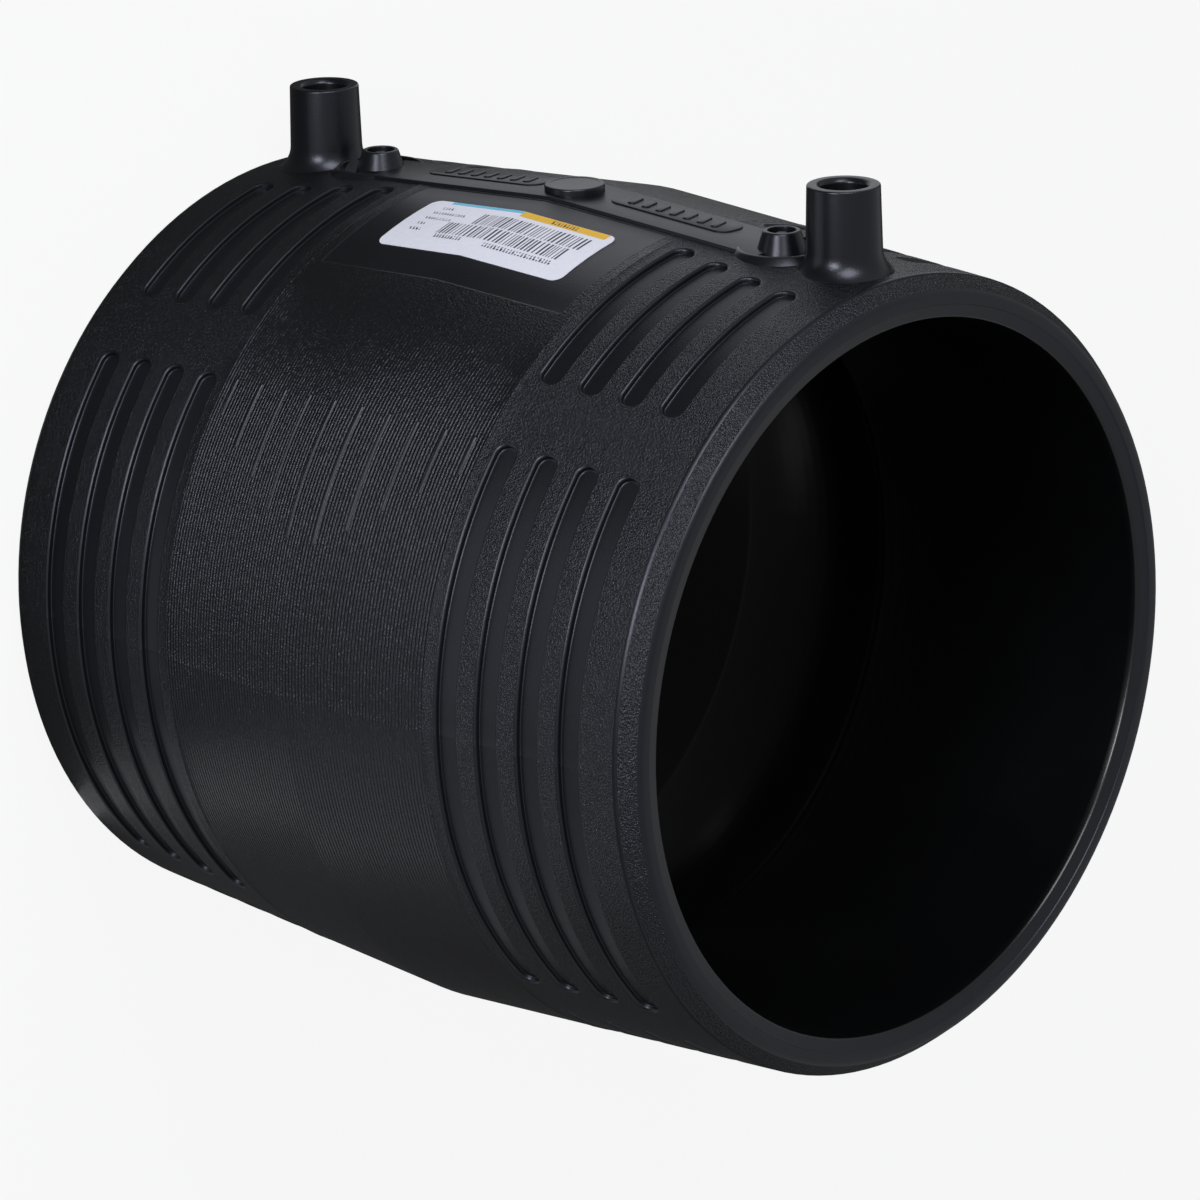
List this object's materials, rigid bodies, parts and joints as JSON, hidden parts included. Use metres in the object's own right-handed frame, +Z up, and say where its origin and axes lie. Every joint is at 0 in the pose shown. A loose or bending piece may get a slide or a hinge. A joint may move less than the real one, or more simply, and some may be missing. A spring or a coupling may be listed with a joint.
{
  "type": "electrofusion pipe coupler",
  "caption": "Black double-tapered plastic sleeve with a plain bore, rib fields round both ends, and shrouded electrical terminals and fusion indicators along one side.",
  "frame": {"origin": "centre of the lower end ring, on the barrel's axis, in the plane that the coupler stands on", "axes": "+Z up along the barrel, -X towards the two terminals, the label and the front rib field face -Y"},
  "size_m": [0.206, 0.1924, 0.198],
  "materials": {
    "body_plastic": "black polyethylene, spark-eroded grain on the lands and end bevels, smooth groove floors",
    "label_film": "satin white film with blue and yellow fields",
    "wire_metal": "drawn copper-alloy resistance wire",
    "terminal_metal": "turned brass contact pin",
    "indicator_plastic": "smooth black polyethylene"
  },
  "bodies": {
    "fitting": {"coupler_body": "body_plastic", "label": "label_film", "heating_wire": "wire_metal", "terminal_pin_lower": "terminal_metal", "terminal_pin_upper": "terminal_metal"},
    "indicator_lower": {"fusion_indicator_lower": "indicator_plastic"},
    "indicator_upper": {"fusion_indicator_upper": "indicator_plastic"}
  },
  "joints": [
    {"name": "indicator_lower_rise", "type": "slide", "parent": "fitting", "child": "indicator_lower", "axis": [-1, 0, 0], "range_m": [0, 0.003]},
    {"name": "indicator_upper_rise", "type": "slide", "parent": "fitting", "child": "indicator_upper", "axis": [-1, 0, 0], "range_m": [0, 0.003]}
  ]
}
